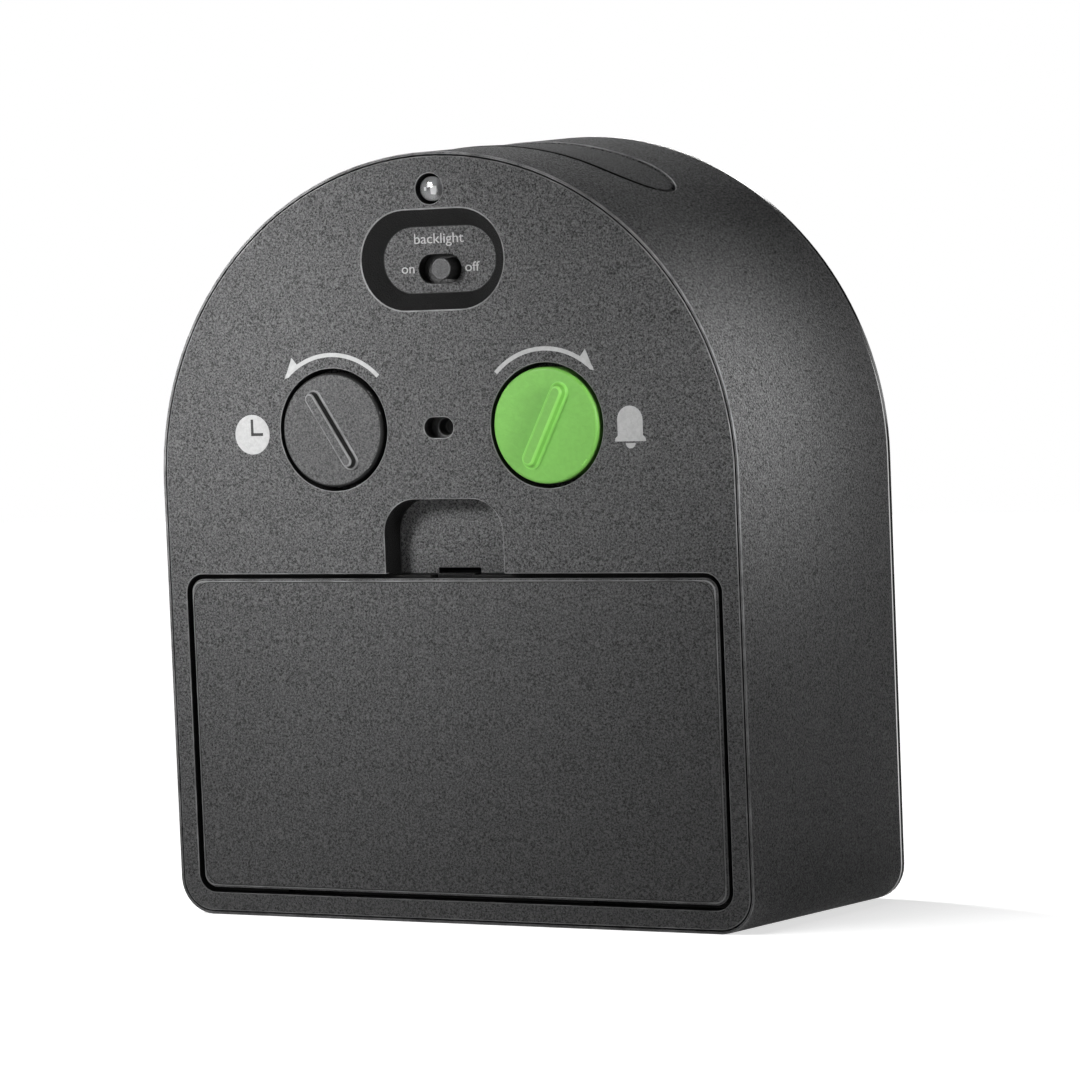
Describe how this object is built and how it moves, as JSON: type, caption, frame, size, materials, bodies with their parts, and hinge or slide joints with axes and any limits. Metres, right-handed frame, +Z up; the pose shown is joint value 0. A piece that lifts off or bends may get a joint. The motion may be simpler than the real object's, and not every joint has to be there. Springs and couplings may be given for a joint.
{
  "type": "analog alarm clock",
  "caption": "Small free-standing analog alarm clock with an arched tapered case, setting knobs, backlight switch and battery door at the back and a snooze pad on top.",
  "frame": {"origin": "middle of the flat base that the clock stands on", "axes": "+Z up, -Y the way the dial faces, +X to the right of a person who reads the dial"},
  "size_m": [0.0982, 0.0541, 0.1151],
  "materials": {
    "case_plastic": "satin black, fine grain",
    "cover_plastic": "satin dark grey, fine grain",
    "door_plastic": "satin dark grey, smooth",
    "rim_gloss": "gloss black",
    "window_clear": "clear acrylic",
    "guide_white": "milky acrylic",
    "led": "clear resin over phosphor",
    "dial_face": "printed sheet",
    "brass_bright": "bright brass",
    "board_green": "solder resist",
    "steel": "plated steel",
    "button_black": "satin black",
    "sensor_clear": "clear resin",
    "black_part": "matt black",
    "pad_plastic": "satin black, fine grain",
    "cell_sleeve": "plain printed sleeve",
    "knob_black": "satin black",
    "knob_green": "satin green",
    "gear_plastic": "natural acetal",
    "frame_plastic": "natural plastic",
    "copper_wire": "enamelled copper wire",
    "magnet_dark": "sintered magnet with pinion",
    "hand_black": "matt black paint",
    "hand_silver": "silver paint",
    "hand_green": "green paint"
  },
  "bodies": {
    "case": {"case_shell": "case_plastic", "rear_cover": "cover_plastic", "front_bezel": "rim_gloss", "lens": "window_clear", "light_guide": "guide_white", "backlight_led": "led", "dial": "dial_face", "dial_nut": "brass_bright", "circuit_board": "board_green", "switch_body": "steel", "light_sensor": "sensor_clear", "buzzer": "black_part", "snooze_board": "board_green", "snooze_switch": "black_part", "battery_contacts_left": "steel", "battery_contacts_right": "steel", "battery_bottom": "cell_sleeve", "battery_middle": "cell_sleeve", "battery_top": "cell_sleeve", "cover_screws": "steel", "movement_rear_plate": "frame_plastic", "movement_middle_plate": "frame_plastic", "movement_front_plate": "frame_plastic", "stator": "steel", "coil": "copper_wire", "alarm_contact": "brass_bright"},
    "door": {"battery_door": "door_plastic"},
    "pad": {"snooze_pad": "pad_plastic"},
    "switch_slider": {"slide_button": "button_black"},
    "time_setter": {"time_knob": "knob_black", "time_set_pinion": "gear_plastic"},
    "alarm_setter": {"alarm_knob": "knob_green", "alarm_set_pinion": "gear_plastic"},
    "minute_arbor": {"cannon_pinion": "gear_plastic", "minute_hand": "hand_black"},
    "minute_reduction": {"minute_wheel": "gear_plastic"},
    "hour_arbor": {"hour_wheel": "gear_plastic", "hour_hand": "hand_black"},
    "alarm_arbor": {"alarm_wheel": "gear_plastic", "alarm_hand": "hand_green"},
    "second_arbor": {"fourth_wheel": "gear_plastic", "second_hand": "hand_silver"},
    "third_arbor": {"third_wheel": "gear_plastic"},
    "centre_arbor": {"centre_wheel": "gear_plastic"},
    "fifth_arbor": {"fifth_wheel": "gear_plastic"},
    "motor_rotor": {"rotor": "magnet_dark"}
  },
  "joints": [
    {"name": "door_swing", "type": "hinge", "parent": "case", "child": "door", "pos_m": [0, 0.02461, 0.00401], "axis": [-1, 0, 0], "range_deg": [0, 40]},
    {"name": "snooze_press", "type": "slide", "parent": "case", "child": "pad", "axis": [0, -0.0466, -0.9989], "range_m": [0, 0.0007], "stiffness_N_per_m": 600, "springref_m": -0.0007},
    {"name": "backlight_slide", "type": "slide", "parent": "case", "child": "switch_slider", "axis": [1, 0, 0], "range_m": [0, 0.0028]},
    {"name": "time_set", "type": "hinge", "parent": "case", "child": "time_setter", "pos_m": [0.01723, 0.02774, 0.07112], "axis": [0, 0.9989, -0.0466], "continuous": true},
    {"name": "minute_turn", "type": "hinge", "parent": "case", "child": "minute_arbor", "pos_m": [0, -0.00257, 0.06518], "axis": [0, 0.9989, -0.0466], "continuous": true},
    {"name": "minute_wheel_turn", "type": "hinge", "parent": "case", "child": "minute_reduction", "pos_m": [0.01156, -0.00272, 0.06196], "axis": [0, 0.9989, -0.0466], "continuous": true},
    {"name": "hour_turn", "type": "hinge", "parent": "case", "child": "hour_arbor", "pos_m": [0, -0.00257, 0.06518], "axis": [0, 0.9989, -0.0466], "continuous": true},
    {"name": "alarm_set", "type": "hinge", "parent": "case", "child": "alarm_setter", "pos_m": [-0.01723, 0.02774, 0.07112], "axis": [0, -0.9989, 0.0466], "continuous": true},
    {"name": "alarm_turn", "type": "hinge", "parent": "case", "child": "alarm_arbor", "pos_m": [0, -0.00257, 0.06518], "axis": [0, -0.9989, 0.0466], "continuous": true},
    {"name": "second_turn", "type": "hinge", "parent": "case", "child": "second_arbor", "pos_m": [0, -0.00257, 0.06518], "axis": [0, 0.9989, -0.0466], "continuous": true},
    {"name": "third_turn", "type": "hinge", "parent": "case", "child": "third_arbor", "pos_m": [-0.0085, -0.00257, 0.06518], "axis": [0, 0.9989, -0.0466], "continuous": true},
    {"name": "centre_turn", "type": "hinge", "parent": "case", "child": "centre_arbor", "pos_m": [0, -0.00257, 0.06518], "axis": [0, 0.9989, -0.0466], "continuous": true},
    {"name": "fifth_turn", "type": "hinge", "parent": "case", "child": "fifth_arbor", "pos_m": [0, -0.00229, 0.07117], "axis": [0, 0.9989, -0.0466], "continuous": true},
    {"name": "rotor_turn", "type": "hinge", "parent": "case", "child": "motor_rotor", "pos_m": [0, -0.00203, 0.07677], "axis": [0, 0.9989, -0.0466], "continuous": true}
  ],
  "couplings": [
    {"joint": "minute_turn", "follows": "time_set", "ratio": 1},
    {"joint": "minute_wheel_turn", "follows": "time_set", "ratio": -0.33333},
    {"joint": "hour_turn", "follows": "time_set", "ratio": 0.083333},
    {"joint": "alarm_turn", "follows": "alarm_set", "ratio": -0.5},
    {"joint": "third_turn", "follows": "second_turn", "ratio": -0.13333},
    {"joint": "centre_turn", "follows": "second_turn", "ratio": 0.016667},
    {"joint": "fifth_turn", "follows": "second_turn", "ratio": -5},
    {"joint": "rotor_turn", "follows": "second_turn", "ratio": 30}
  ]
}
